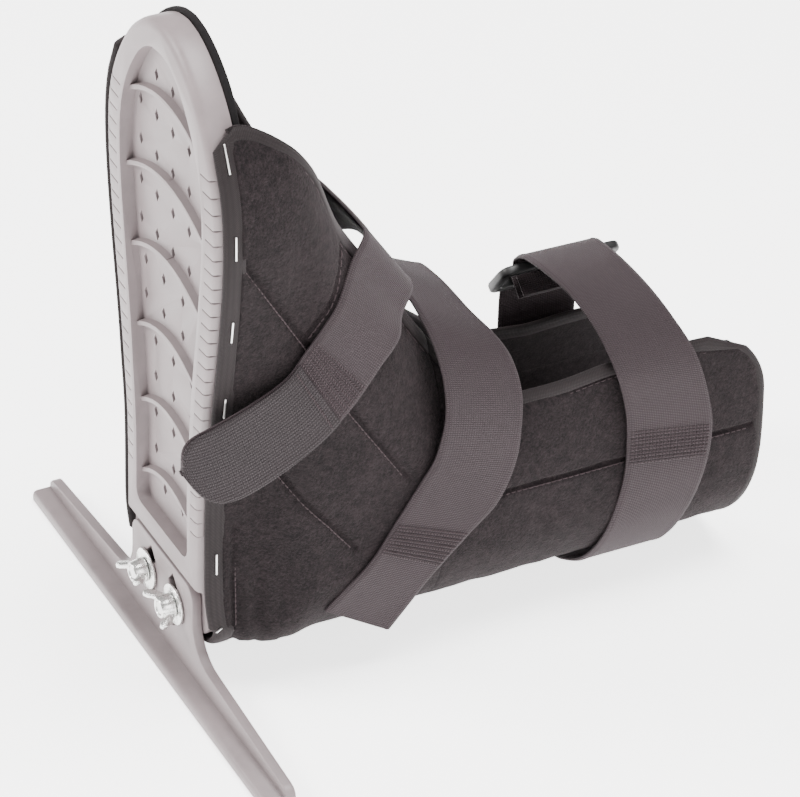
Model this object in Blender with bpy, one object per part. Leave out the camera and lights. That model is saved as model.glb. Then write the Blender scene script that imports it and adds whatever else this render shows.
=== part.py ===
"""Anti-rotation ankle boot, lying as it is worn in bed: toes up, leg along +Y.

Frame: origin at the centre of the bar's underside, +X to the near side,
+Y from the sole towards the calf, +Z up. All dimensions below are in mm.
"""
import math

import bpy
import numpy as np

MM = 0.001

# Foot plate
SOLE_FRONT = 1.9
SOLE_BACK = 14.2
SOLE_BOTTOM = 24.0
TRAY_FLOOR = 7.5
EDGE_R = 4.0
LEDGE_FACE = 6.6
LEDGE_TOP = 50.6
BAND_TOP = 60.0
HEEL_HALF = 36.5
HEEL_CORNER = 12.0

# Bar
BAR_HALF = 119.0
BAR_DEPTH_HALF = 6.3
FLANGE_H = 5.0
WEB_END_H = 10.0
WEB_MID_H = 15.5
TONGUE_HALF = 30.0
TONGUE_TOP = 48.4
TONGUE_CORNER = 7.0
TONGUE_FILLET = 17.0
PIVOT_Z = 31.0
SLOT_R = 13.6
SLOT_W = 7.0
SLOT_HALF_ANGLE = 52.0

# Clamp hardware
BOLT_X = 13.6
BOLT_R = 3.0
BOLT_HEAD_R = 6.4
WASHER_R = 9.0
WASHER_T = 1.2
NUT_HUB = 6.0
NUT_BORE = 3.06
NUT_SPAN = 10.4
NUT_TURN = {"far": 9.0, "near": -16.5}

# Padded cloth upper
CLOTH = 2.6
BINDING = 3.1
CLEAR = 1.2
LEG_HALF = 48.6
LEG_BOTTOM = 8.0
LEG_ROUND = 46.0
FRONT_EDGE = 3.0
CALF_END = 258.0
SPLIT_Y = 105.0
FRONT_BAND = 9.0
TOP_BAND = 5.0
SEAM_GAP = 1.5

# Webbing
WEB_T = 2.0

# Half width of the foot plate up its length: height, half width
SOLE_TABLE = [(36, 36.5), (60, 36.3), (95, 36.4), (120, 39.3), (145, 42.6), (170, 46.8),
              (190, 49.8), (207, 51.7), (222, 52.4), (236, 51.6), (248, 48.8), (258, 44.6),
              (267, 39.4), (275, 33.6), (282, 26.6), (288, 18.2), (292, 9.0), (293.4, 0.0)]
# Half width of the tray in it
TRAY_TABLE = [(66, 25.0), (95, 24.8), (120, 26.8), (145, 29.2), (170, 32.8), (190, 35.6),
              (207, 37.6), (222, 38.4), (236, 37.6), (248, 34.6), (258, 30.2), (266, 25.0),
              (273, 19.4), (278, 13.4), (281, 7.0), (281.8, 0.0)]
RIB_ENDS = [247.0, 211.0, 176.0, 140.5, 105.5, 71.0]
RIB_RISE = 12.5
HOLE_ROWS = [(263.5, (-15, 0, 15)), (245.5, (-30, -15, 0, 15, 30)), (227.5, (-30, -15, 0, 15, 30)),
             (209.5, (-30, -15, 0, 15, 30)), (191.5, (-30, -15, 0, 15, 30)),
             (174.0, (-26, -9, 9, 26)), (158.0, (-26, -9, 9, 26)), (140.5, (-17, 0, 17)),
             (123.5, (-17, 0, 17)), (106.0, (-17, 0, 17)), (88.0, (-17, 0, 17)),
             (72.7, (-8.5, 8.5))]

# Open edge of the upper, near and far: y, height
TOP_NEAR = [(3, 260), (7, 266), (11.3, 269), (20, 267.5), (27, 264), (34, 258.5), (40, 251),
            (45, 242), (51, 228), (58, 213), (70, 195), (82, 178), (92, 161), (102, 146),
            (115, 129), (128, 117), (141, 112), (155, 114), (181, 117.5), (210, 118.5),
            (232, 117.5), (258, 116)]
TOP_FAR = [(3, 260), (7, 266), (11.3, 269), (20, 267.5), (27, 264), (34, 258.5), (40, 251),
           (45, 242), (51, 228), (58, 213), (70, 195), (82, 178), (92, 161), (102, 146),
           (115, 129), (128, 113), (141, 101), (155, 91), (170, 84), (195, 81), (215, 82),
           (235, 82), (258, 80)]
# How far the open edge turns in over the foot: y, inward shift
CURL = [(3, 0), (30, 0), (45, 6), (60, 18), (75, 27), (95, 30), (115, 22), (135, 11), (160, 6),
        (258, 6)]

# Straps, from one end to the other: left edge x y z, right edge x y z
FOREFOOT_STRAP = [
    ((53.2, -16.0, 134.5), (53.2, -12.0, 118.0)),
    ((53.2, -13.0, 140.0), (53.2, -2.0, 108.5)),
    ((53.4, 0.0, 144.5), (53.4, 12.0, 107.0)),
    ((53.9, 15.7, 150.5), (53.6, 29.0, 113.5)),
    ((53.9, 30.7, 158.0), (53.9, 47.0, 124.5)),
    ((54.0, 39.6, 169.0), (53.5, 61.0, 137.0)),
    ((53.6, 47.2, 178.1), (51.5, 74.2, 151.5)),
    ((51.0, 54.5, 185.5), (46.5, 84.0, 158.0)),
    ((39.0, 66.0, 194.0), (36.0, 90.5, 161.5)),
    ((27.5, 77.0, 197.5), (25.5, 100.5, 165.0)),
    ((12.0, 82.0, 194.0), (10.0, 105.0, 161.0)),
    ((-12.0, 82.0, 194.0), (-12.0, 105.0, 161.0)),
    ((-27.5, 77.0, 196.5), (-26.0, 100.5, 164.0)),
    ((-40.0, 68.5, 191.0), (-39.5, 91.5, 157.0)),
    ((-52.8, 51.0, 188.5), (-50.8, 71.5, 153.0)),
    ((-55.6, 31.0, 188.5), (-53.6, 42.0, 150.0)),
    ((-57.2, 15.0, 189.0), (-54.6, 19.0, 150.0)),
]
ANKLE_STRAP = [
    ((49.5, 52.5, 36.0), (50.0, 82.0, 17.5)),
    ((52.2, 61.0, 47.0), (51.0, 91.0, 29.0)),
    ((53.6, 71.0, 58.0), (52.6, 100.0, 41.0)),
    ((53.6, 82.0, 74.0), (53.6, 117.0, 59.0)),
    ((53.6, 93.0, 91.0), (53.6, 129.0, 70.5)),
    ((53.6, 99.0, 101.5), (53.6, 136.5, 88.0)),
    ((53.0, 103.0, 117.5), (53.0, 138.5, 107.0)),
    ((50.0, 103.5, 132.0), (50.0, 139.0, 121.0)),
    ((43.5, 102.5, 144.5), (43.5, 137.5, 132.5)),
    ((32.0, 102.5, 151.5), (32.0, 135.5, 138.0)),
    ((14.0, 104.5, 154.0), (14.0, 133.0, 140.0)),
    ((-12.0, 106.0, 153.0), (-12.0, 134.0, 139.0)),
    ((-34.0, 104.0, 147.0), (-34.0, 136.0, 133.0)),
    ((-48.0, 102.0, 128.0), (-48.0, 138.0, 116.0)),
    ((-53.6, 98.0, 100.0), (-53.6, 136.0, 92.0)),
    ((-53.6, 92.0, 74.0), (-53.6, 130.0, 68.0)),
    ((-52.0, 86.0, 48.0), (-52.0, 122.0, 44.0)),
]
CALF_STRAP = [
    ((-30.5, 185.0, 106.4), (-30.5, 225.0, 106.4)),
    ((-34.4, 185.0, 109.8), (-34.4, 225.0, 109.8)),
    ((-38.6, 185.0, 113.4), (-38.6, 225.0, 113.4)),
    ((-41.0, 185.0, 117.0), (-41.0, 225.0, 117.0)),
    ((-37.6, 184.5, 121.6), (-37.6, 224.0, 121.2)),
    ((-26.0, 182.0, 128.5), (-26.0, 220.0, 127.0)),
    ((-6.0, 180.0, 134.0), (-4.0, 217.0, 131.5)),
    ((16.0, 180.0, 135.0), (20.0, 216.0, 132.0)),
    ((36.0, 181.0, 130.0), (38.5, 216.5, 128.0)),
    ((50.2, 182.5, 119.0), (51.0, 221.6, 115.0)),
    ((53.4, 186.8, 101.6), (53.6, 228.3, 92.4)),
    ((53.8, 189.0, 83.0), (53.9, 230.5, 76.0)),
    ((53.8, 188.5, 62.0), (53.8, 228.0, 56.0)),
    ((49.8, 184.0, 36.0), (50.2, 223.5, 36.0)),
    ((39.0, 181.0, 16.5), (39.5, 220.5, 17.0)),
    ((22.0, 180.0, 4.6), (22.0, 219.5, 4.8)),
    ((6.0, 180.0, 1.1), (6.0, 219.5, 1.1)),
    ((-12.0, 180.0, 1.6), (-12.0, 219.5, 1.6)),
]
CALF_ANCHOR = [
    ((-47.9, 186.0, 33.0), (-47.9, 224.0, 33.0)),
    ((-52.5, 186.0, 52.0), (-52.5, 224.0, 52.0)),
    ((-53.0, 186.0, 72.0), (-53.0, 224.0, 72.0)),
    ((-53.2, 186.0, 90.0), (-53.2, 224.0, 90.0)),
    ((-52.0, 186.0, 100.0), (-52.0, 224.0, 100.0)),
    ((-50.0, 186.0, 106.2), (-50.0, 224.0, 106.2)),
    ((-46.0, 186.0, 109.6), (-46.0, 224.0, 109.6)),
    ((-42.2, 186.0, 107.4), (-42.2, 224.0, 107.4)),
    ((-38.6, 186.0, 104.0), (-38.6, 224.0, 104.0)),
    ((-36.2, 186.0, 101.6), (-36.2, 224.0, 101.6)),
]
LOOP_CENTRE = (-40.5, 205.0, 110.5)
LOOP_LEN = 58.0
LOOP_W = 23.0
LOOP_BAR = 4.6
LOOP_T = 4.0
LOOP_LEAN = 52.0

STAPLE_Z = [258.0, 225.0, 186.5, 147.5, 108.0, 67.5, 30.0]
STAPLE_LEN = 10.0
STAPLE_T = 0.7


for old in list(bpy.data.objects):
    bpy.data.objects.remove(old, do_unlink=True)


def material(name, rgb, rough, metal=0.0):
    mat = bpy.data.materials.new(name)
    mat.use_nodes = True
    shader = mat.node_tree.nodes["Principled BSDF"]
    shader.inputs["Base Color"].default_value = (*rgb, 1.0)
    shader.inputs["Roughness"].default_value = rough
    shader.inputs["Metallic"].default_value = metal
    mat.diffuse_color = (*rgb, 1.0)
    return mat


GREY = (0.52, 0.49, 0.49)
BLACK = (0.045, 0.038, 0.040)
STRAP = (0.085, 0.070, 0.075)
ZINC = (0.72, 0.73, 0.74)


def mesh_object(name, verts, faces, rgb=None, rough=0.6, metal=0.0):
    """Make one object from points in mm."""
    mesh = bpy.data.meshes.new(name)
    mesh.from_pydata([tuple(float(c) * MM for c in v) for v in verts], [], faces)
    mesh.update()
    ob = bpy.data.objects.new(name, mesh)
    bpy.context.scene.collection.objects.link(ob)
    if rgb is not None:
        mesh.materials.append(material("mat_" + name, rgb, rough, metal))
    return ob


def outward(verts, faces):
    """Turn all the faces when the closed body is inside out."""
    pts = np.asarray(verts, float)
    volume = 0.0
    for f in faces:
        for i in range(1, len(f) - 1):
            volume += float(np.dot(pts[f[0]], np.cross(pts[f[i]], pts[f[i + 1]])))
    if volume < 0:
        return [tuple(reversed(f)) for f in faces]
    return faces


def solid(name, parts, rgb=None, rough=0.6, metal=0.0):
    """One object from a list of closed bodies."""
    verts = []
    faces = []
    for pts, fcs in parts:
        base = len(verts)
        verts.extend([tuple(p) for p in pts])
        faces.extend([tuple(i + base for i in f) for f in outward(pts, fcs)])
    return mesh_object(name, verts, faces, rgb, rough, metal)


def loft(rings, loop=False):
    """A closed body from rings with the same number of points."""
    n = len(rings[0])
    verts = [p for ring in rings for p in ring]
    faces = []
    last = len(rings) if loop else len(rings) - 1
    for r in range(last):
        a = r * n
        b = ((r + 1) % len(rings)) * n
        for i in range(n):
            j = (i + 1) % n
            faces.append((a + i, a + j, b + j, b + i))
    if not loop:
        faces.append(tuple(reversed(range(n))))
        faces.append(tuple(range((len(rings) - 1) * n, len(rings) * n)))
    return verts, faces


def prism_y(outline, y0, y1):
    """An outline of x, z points, run from y0 to y1."""
    return loft([[(x, y0, z) for x, z in outline], [(x, y1, z) for x, z in outline]])


def cylinder_y(x, z, r, y0, y1, n=24):
    ring = [(x + r * math.cos(2 * math.pi * i / n), z + r * math.sin(2 * math.pi * i / n))
            for i in range(n)]
    return prism_y(ring, y0, y1)


def cut(target, cutter, operation="DIFFERENCE"):
    """A Boolean with another object, which is then kept out of sight."""
    mod = target.modifiers.new(cutter.name, "BOOLEAN")
    mod.operation = operation
    mod.solver = "EXACT"
    mod.object = cutter
    cutter.hide_render = True
    cutter.display_type = "WIRE"


def smooth(points, steps):
    """Points of a Catmull-Rom curve through the given ones."""
    pts = [np.asarray(p, float) for p in points]
    pts = [2 * pts[0] - pts[1]] + pts + [2 * pts[-1] - pts[-2]]
    out = []
    for i in range(1, len(pts) - 2):
        p0, p1, p2, p3 = pts[i - 1:i + 3]
        for k in range(steps):
            t = k / steps
            out.append(0.5 * (2 * p1 + (p2 - p0) * t + (2 * p0 - 5 * p1 + 4 * p2 - p3) * t * t
                              + (3 * p1 - p0 - 3 * p2 + p3) * t ** 3))
    out.append(pts[-2])
    return out


def table(rows, value):
    xs = [r[0] for r in rows]
    ys = [r[1] for r in rows]
    return float(np.interp(value, xs, ys))


def blend(value, low, high):
    t = min(1.0, max(0.0, (value - low) / (high - low)))
    return t * t * (3 - 2 * t)


# Foot plate

def plate_outline():
    """The plate's outline, x and z, from the bottom round the near side."""
    side = []
    for i in range(5):
        t = math.radians(-90 + 22.5 * i)
        side.append((HEEL_HALF - HEEL_CORNER + HEEL_CORNER * math.cos(t),
                     SOLE_BOTTOM + HEEL_CORNER + HEEL_CORNER * math.sin(t)))
    curve = smooth([(h, z) for z, h in SOLE_TABLE], 2)
    side.extend([(float(p[0]), float(p[1])) for p in curve[1:]])
    far = [(-x, z) for x, z in reversed(side[:-1])]
    return side[:-1] + [(0.0, side[-1][1])] + far


def tray_outline():
    corner = []
    for i in range(4):
        t = math.radians(-90 + 30 * i)
        corner.append((20.0 + 5.0 * math.cos(t), BAND_TOP + 5.0 + 5.0 * math.sin(t)))
    curve = smooth([(h, z) for z, h in TRAY_TABLE], 2)
    side = corner + [(float(p[0]), float(p[1])) for p in curve[1:]]
    far = [(-x, z) for x, z in reversed(side[:-1])]
    return side[:-1] + [(0.0, side[-1][1])] + far


def inset(outline, amount):
    """Move a closed outline inwards; it runs anticlockwise in x, z."""
    out = []
    n = len(outline)
    for i in range(n):
        x0, z0 = outline[i - 1]
        x1, z1 = outline[(i + 1) % n]
        length = math.hypot(x1 - x0, z1 - z0)
        nx = -(z1 - z0) / length
        nz = (x1 - x0) / length
        out.append((outline[i][0] + nx * amount, outline[i][1] + nz * amount))
    return out


PLATE = plate_outline()
rings = []
for angle in (0, 30, 60, 90):
    t = math.radians(angle)
    ring = inset(PLATE, EDGE_R * (1 - math.sin(t)))
    y = SOLE_FRONT + EDGE_R * (1 - math.cos(t))
    rings.append([(x, y, z) for x, z in ring])
rings.append([(x, SOLE_BACK, z) for x, z in PLATE])
sole = solid("sole_plate", [loft(rings)], GREY, 0.45)

tray = solid("cut_tray", [prism_y(tray_outline(), -6.0, TRAY_FLOOR)])
cut(sole, tray)
ledge = solid("cut_ledge", [prism_y([(-60, 0), (60, 0), (60, LEDGE_TOP), (-60, LEDGE_TOP)],
                                    -6.0, LEDGE_FACE)])
cut(sole, ledge)


def half_at(rows, z):
    return table([(r[0], r[1]) for r in rows], z)


ribs = []
for z_end in RIB_ENDS:
    reach = half_at(TRAY_TABLE, z_end + 2.0) + 3.0
    stations = []
    for i in range(13):
        s = -1 + 2 * i / 12
        zc = z_end + RIB_RISE * (reach / 41.0) ** 0.5 * (1 - s * s)
        stations.append([(s * reach, TRAY_FLOOR + 1.0, zc - 2.0), (s * reach, TRAY_FLOOR, zc - 1.9),
                         (s * reach, 4.5, zc - 1.0), (s * reach, 4.5, zc + 1.0),
                         (s * reach, TRAY_FLOOR, zc + 1.5), (s * reach, TRAY_FLOOR + 1.0, zc + 1.6)])
    ribs.append(loft(stations))
rib_body = solid("add_ribs", ribs)
cut(sole, rib_body, "UNION")

holes = []
for z, columns in HOLE_ROWS:
    for x in columns:
        holes.append(prism_y([(x, z - 2.9), (x + 1.8, z), (x, z + 2.9), (x - 1.8, z)],
                             TRAY_FLOOR - 4.0, SOLE_BACK + 3.0))
cut(sole, solid("cut_holes", holes))

notches = []
for side in (-1, 1):
    z = 78.0
    while z < 255.0:
        outer = half_at(SOLE_TABLE, z) + 1.5
        inner = half_at(TRAY_TABLE, z) + 3.2
        stations = []
        for s, lift in ((0.0, 0.0), (0.6, 0.6), (1.0, 3.0)):
            x = side * (inner + (outer - inner) * s)
            zc = z + lift - 1.0
            stations.append([(x, 0.4, zc - 0.8), (x, 0.4, zc + 1.0), (x, SOLE_FRONT + 1.0, zc + 0.2)])
        stations[2] = [(p[0], p[1] + 2.6, p[2]) for p in stations[2]]
        if side > 0 or z < 251.0:
            notches.append(loft(stations))
        z += 6.6
cut(sole, solid("cut_notches", notches))

bores = []
for x in (-BOLT_X, BOLT_X):
    bores.append(cylinder_y(x, PIVOT_Z, BOLT_R + 0.3, 0.0, 12.5))
    bores.append(cylinder_y(x, PIVOT_Z, BOLT_HEAD_R + 0.3, 11.2, 20.0))
bore_far = solid("cut_bores", [bores[0], bores[2]])
cut(sole, bore_far)
cut(sole, solid("cut_head_recesses", [bores[1], bores[3]]))


# Bar

def bar_outline():
    """Upright web and tongue, x and z, anticlockwise from the far bottom."""
    side = [(BAR_HALF, 1.0)]
    for i in range(4):
        t = math.radians(30 * i)
        side.append((BAR_HALF - 4.5 + 4.5 * math.cos(t), WEB_END_H - 4.5 + 4.5 * math.sin(t)))
    side.append((TONGUE_HALF + TONGUE_FILLET, WEB_MID_H))
    for i in range(1, 7):
        t = math.radians(-90 - 15 * i)
        side.append((TONGUE_HALF + TONGUE_FILLET + TONGUE_FILLET * math.cos(t),
                     WEB_MID_H + TONGUE_FILLET + TONGUE_FILLET * math.sin(t)))
    for i in range(5):
        t = math.radians(22.5 * i)
        side.append((TONGUE_HALF - TONGUE_CORNER + TONGUE_CORNER * math.cos(t),
                     TONGUE_TOP - TONGUE_CORNER + TONGUE_CORNER * math.sin(t)))
    return side + [(-x, z) for x, z in reversed(side)]


flange_section = [(-6.3, 0.0), (6.3, 0.0), (6.3, FLANGE_H), (-4.3, FLANGE_H), (-5.7, 4.4), (-6.3, 3.0)]
flange = [[(x, y, z) for y, z in flange_section] for x in (-BAR_HALF, BAR_HALF)]
bar = solid("anti_rotation_bar", [loft(flange)], GREY, 0.45)
cut(bar, solid("add_web", [prism_y(bar_outline(), SOLE_FRONT, BAR_DEPTH_HALF)]), "UNION")
slots = []
for side in (0.0, 180.0):
    outline = []
    for radius, order in ((SLOT_R + SLOT_W / 2, 1), (SLOT_R - SLOT_W / 2, -1)):
        for i in range(11):
            a = math.radians(side + order * SLOT_HALF_ANGLE * (i / 5 - 1))
            outline.append((radius * math.cos(a), PIVOT_Z + radius * math.sin(a)))
    slots.append(prism_y(outline, -3.0, 12.0))
cut(bar, solid("cut_slots", slots))


# Clamp hardware

def tube_y(x, z, r_in, r_out, y0, y1, n=20, r_out_end=None):
    r_end = r_out if r_out_end is None else r_out_end
    ring_list = []
    for r, y in ((r_in, y0), (r_out, y0), (r_end, y1), (r_in, y1)):
        ring_list.append([(x + r * math.cos(2 * math.pi * i / n), y,
                           z + r * math.sin(2 * math.pi * i / n)) for i in range(n)])
    return loft(ring_list, loop=True)


WASHER_BACK = SOLE_FRONT - 0.3
WASHER_FRONT = WASHER_BACK - WASHER_T
NUT_BACK = WASHER_FRONT - 0.3
for which, sign in (("far", -1), ("near", 1)):
    bx = sign * BOLT_X
    bolt = solid("clamp_bolt_" + which,
                 [loft([[(bx + r * math.cos(2 * math.pi * i / 16), y,
                          PIVOT_Z + r * math.sin(2 * math.pi * i / 16)) for i in range(16)]
                        for r, y in ((BOLT_R - 0.4, NUT_BACK - NUT_HUB + 0.4),
                                     (BOLT_R, NUT_BACK - NUT_HUB + 0.8),
                                     (BOLT_R, 11.5), (BOLT_HEAD_R, 11.5), (BOLT_HEAD_R, 14.0))])],
                 ZINC, 0.35, 0.9)
    solid("washer_" + which, [tube_y(bx, PIVOT_Z, 3.3, WASHER_R, WASHER_BACK, WASHER_FRONT)],
          ZINC, 0.35, 0.9)
    nut = solid("wing_nut_" + which,
                [tube_y(0, 0, NUT_BORE, 5.4, 0, -NUT_HUB, r_out_end=4.3)], ZINC, 0.35, 0.9)
    wing = [(3.7, 0.5), (6.2, 0.9), (8.8, 3.4), (NUT_SPAN, 6.4), (10.1, 8.4), (8.8, 9.0),
            (7.2, 7.9), (5.8, 5.6), (3.7, 4.6)]
    wings = []
    for s in (-1, 1):
        wings.append(loft([[(s * p, -q, -1.0) for p, q in wing], [(s * p, -q, 1.0) for p, q in wing]]))
    wing_body = solid("add_wings_" + which, wings)
    cut(nut, wing_body, "UNION")
    for ob in (nut, wing_body):
        ob.location = (bx * MM, NUT_BACK * MM, PIVOT_Z * MM)
        ob.rotation_euler = (0.0, math.radians(-NUT_TURN[which]), 0.0)


# Padded cloth

BEND = 0.42
SOLE_FINE = [(p[1], p[0]) for p in smooth([(h, z) for z, h in SOLE_TABLE], 4)]


def leg_bottom(y):
    front = SOLE_BOTTOM - CLEAR
    return front + (LEG_BOTTOM - front) * blend(y, 14.5, 52)


def leg_round(y):
    return HEEL_CORNER + (LEG_ROUND - HEEL_CORNER) * blend(y, 14.5, 56)


def top_at(y, side):
    return table(TOP_NEAR if side > 0 else TOP_FAR, y)


def y_range(v):
    """First and last y of the cloth at section position v, -1 to 1."""
    s = abs(v)
    first = 7.2 - (7.2 - FRONT_EDGE) * blend(s, 0.36, 0.47)
    rise = max(0.0, (s - 0.74) / 0.26)
    last = CALF_END - 3.0 * (1 - blend(s, 0.2, 0.5)) - 27.0 * (1 - math.sqrt(1 - min(1.0, rise) ** 2))
    return first, last


def cloth_point(a, v):
    """Inner face of the cloth: a runs along y, v across the section."""
    side = 1 if v >= 0 else -1
    s = abs(v)
    first, last = y_range(v)
    y = first + (last - first) * a
    low = leg_bottom(y)
    rnd = leg_round(y)
    top = top_at(y, side)
    to_leg = blend(y, 14.5, 52)
    if s <= BEND:
        t = s / BEND * math.pi / 2
        z = low + rnd * (1 - math.cos(t))
        flat = HEEL_HALF + CLEAR - HEEL_CORNER
        x_front = flat * min(1.0, t / 0.25) * (1.0 if t >= 0.25 else 1.0)
        t2 = max(0.0, (t - 0.25) / (math.pi / 2 - 0.25)) * math.pi / 2
        x_front = flat * min(1.0, t / 0.25) + HEEL_CORNER * math.sin(t2)
        z_front = low + HEEL_CORNER * (1 - math.cos(t2))
        x_leg = LEG_HALF * math.sin(t)
        x = x_front + (x_leg - x_front) * to_leg
        z = z_front + (z - z_front) * to_leg
    else:
        f = (s - BEND) / (1 - BEND)
        z = low + rnd + (top - low - rnd) * f
        x_front = max(half_at(SOLE_FINE, z), 20.0) + CLEAR
        x = x_front + (LEG_HALF - x_front) * to_leg
        drop = (top - z) * (0.62 if 50 < y < 125 else 0.85)
        x -= table(CURL, y) * max(0.0, 1 - drop / 45.0) ** 2
    return np.array([side * x, y, z])


def cloth_normal(a, v):
    e = 0.004
    a0 = min(max(a, e), 1 - e)
    v0 = min(max(v, -1 + e), 1 - e)
    da = cloth_point(a0 + e, v0) - cloth_point(a0 - e, v0)
    dv = cloth_point(a0, v0 + e) - cloth_point(a0, v0 - e)
    n = np.cross(da, dv)
    n = n / np.linalg.norm(n)
    y = cloth_point(a, v)[1]
    if y < 15.0:
        n[1] = 0.0
        n = n / np.linalg.norm(n)
    return n


def a_of_y(y, v):
    first, last = y_range(v)
    return (y - first) / (last - first)


def top_band(a, v):
    side = 1 if v >= 0 else -1
    first, last = y_range(side * 1.0)
    y = first + (last - first) * a
    length = top_at(y, side) - leg_bottom(y) - leg_round(y)
    stretch = 1.05 + 0.45 * blend(y, 40, 60) * (1 - blend(y, 105, 150))
    return TOP_BAND * stretch * (1 - BEND) / length


def sheet_solid(grid, thickness, lift=0.0):
    """A thick sheet from a grid of a, v positions."""
    rows = len(grid)
    cols = len(grid[0])
    inner = [cloth_point(a, v) + cloth_normal(a, v) * lift for row in grid for a, v in row]
    outer = [cloth_point(a, v) + cloth_normal(a, v) * (lift + thickness) for row in grid for a, v in row]
    verts = inner + outer
    base = rows * cols
    faces = []
    for r in range(rows - 1):
        for c in range(cols - 1):
            i = r * cols + c
            faces.append((i, i + 1, i + cols + 1, i + cols))
            faces.append((base + i, base + i + cols, base + i + cols + 1, base + i + 1))
    edge = [c for c in range(cols)]
    edge += [r * cols + cols - 1 for r in range(1, rows)]
    edge += [(rows - 1) * cols + c for c in range(cols - 2, -1, -1)]
    edge += [r * cols for r in range(rows - 2, 0, -1)]
    for k in range(len(edge)):
        i = edge[k]
        j = edge[(k + 1) % len(edge)]
        faces.append((j, i, base + i, base + j))
    return verts, faces


V_SIDE = list(np.linspace(-1.0, -BEND, 12))
V_LOW = list(np.linspace(-BEND, BEND, 9))
V_ALL = V_SIDE + V_LOW[1:-1] + [-v for v in reversed(V_SIDE)]


def body_grid(y_list_start, y_list_end, steps, from_front, to_end):
    """Positions of the cloth inside its binding."""
    grid = []
    for i in range(steps + 1):
        row = []
        for v in V_ALL:
            first, last = y_range(v)
            start = first + FRONT_BAND + SEAM_GAP if from_front else y_list_start
            stop = last - TOP_BAND - SEAM_GAP if to_end else y_list_end
            f = i / steps
            if from_front:
                f = f ** 1.35
            y = start + (stop - start) * f
            a = (y - first) / (last - first)
            shrink = top_band(a, v) * (1 + SEAM_GAP / TOP_BAND)
            side_part = max(0.0, (abs(v) - BEND) / (1 - BEND))
            vv = v - math.copysign(shrink * side_part, v) if side_part > 0 else v
            f2, l2 = y_range(vv)
            if to_end:
                stop2 = l2 - TOP_BAND - SEAM_GAP
                y = y_list_start + (stop2 - y_list_start) * (i / steps)
            a2 = (y - f2) / (l2 - f2)
            row.append((a2, vv))
        grid.append(row)
    return grid


solid("foot_wrap", [sheet_solid(body_grid(None, SPLIT_Y, 12, True, False), CLOTH)], BLACK, 0.95)
solid("calf_cradle", [sheet_solid(body_grid(SPLIT_Y + 1.6, None, 10, False, True), CLOTH)],
      BLACK, 0.95)


def band_solid(path):
    """A tape along the open edge, from pairs of outer and inner positions."""
    ring_list = []
    for outer, inner in path:
        ring = []
        for (a, v), lift in ((outer, 0.5), (outer, BINDING), (inner, BINDING), (inner, 0.5)):
            ring.append(cloth_point(a, v) + cloth_normal(a, v) * lift)
        ring_list.append(ring)
    return loft(ring_list)


def top_pair(y, side):
    a = a_of_y(y, side)
    return (a, side * 1.0), (a, side * (1.0 - top_band(a, side)))


def front_pair(v):
    first, last = y_range(v)
    return (0.0, v), (FRONT_BAND / (last - first), v)


def end_pair(v):
    first, last = y_range(v)
    return (1.0, v), (1.0 - TOP_BAND / (last - first), v)


def corner(a_edge, side, front):
    first, last = y_range(side)
    a_in = FRONT_BAND / (last - first) if front else 1.0 - TOP_BAND / (last - first)
    v_in = side * (1.0 - top_band(a_in, side))
    f2, l2 = y_range(v_in)
    a_in = FRONT_BAND / (l2 - f2) if front else 1.0 - TOP_BAND / (l2 - f2)
    return (a_edge, side * 1.0), (a_in, v_in)


foot_y = [105.0, 98.0, 91.0, 83.0, 75.0, 67.0, 59.0, 51.0, 45.0, 40.0, 34.0, 28.0, 21.0, 14.0]
front_v = [-v for v in V_ALL]
path = [top_pair(y, 1) for y in foot_y] + [corner(0.0, 1, True)]
path += [front_pair(v) for v in front_v[1:-1] if abs(v) < 0.97]
path += [corner(0.0, -1, True)] + [top_pair(y, -1) for y in reversed(foot_y)]
solid("foot_binding", [band_solid(path)], BLACK, 0.85)

calf_y = [106.6, 112.0, 118.0, 124.0, 130.0, 136.0, 143.0, 150.0, 165.0, 180.0, 195.0, 208.0, 218.0]
path = [top_pair(y, 1) for y in calf_y] + [corner(1.0, 1, False)]
path += [end_pair(v) for v in front_v[1:-1] if abs(v) < 0.95]
path += [corner(1.0, -1, False)] + [top_pair(y, -1) for y in reversed(calf_y)]
solid("calf_binding", [band_solid(path)], BLACK, 0.85)

liner = []
for x, z in PLATE:
    grow = 0.0 + 1.6 * blend(z, 268.0, 278.0)
    length = math.hypot(x, z - 240.0)
    liner.append((x + x / length * grow, z + max(0.0, z - 240.0) / length * grow))
solid("insole_liner", [prism_y(liner, SOLE_BACK + 0.3, SOLE_BACK + 3.3)], BLACK, 0.9)


# Straps

def strap_solid(rows, steps, offset=0.0, thickness=WEB_T, across=2):
    left = smooth([r[0] for r in rows], steps)
    right = smooth([r[1] for r in rows], steps)
    mid = [(p + q) / 2 for p, q in zip(left, right)]
    ring_list = []
    for i in range(len(mid)):
        along = mid[min(i + 1, len(mid) - 1)] - mid[max(i - 1, 0)]
        n = np.cross(along, right[i] - left[i])
        n = n / np.linalg.norm(n)
        line = [left[i] + (right[i] - left[i]) * k / across for k in range(across + 1)]
        low = [p + n * offset for p in line]
        high = [p + n * (offset + thickness) for p in reversed(line)]
        ring_list.append(low + high)
    return loft(ring_list)


def strap(name, rows, steps=1):
    return solid(name, [strap_solid(rows, steps, -WEB_T / 2, WEB_T)], STRAP, 0.85)


strap("forefoot_strap", FOREFOOT_STRAP, 2)
strap("ankle_strap", ANKLE_STRAP, 2)
strap("calf_strap", CALF_STRAP, 2)
strap("calf_strap_anchor", CALF_ANCHOR, 2)


# Loop buckle

def rounded(half_len, half_w, r):
    pts = []
    for cx, cz, start in ((1, 1, 0), (-1, 1, 90), (-1, -1, 180), (1, -1, 270)):
        for i in range(4):
            t = math.radians(start + 30 * i)
            pts.append((cx * (half_len - r) + r * math.cos(t), cz * (half_w - r) + r * math.sin(t)))
    return pts


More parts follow.
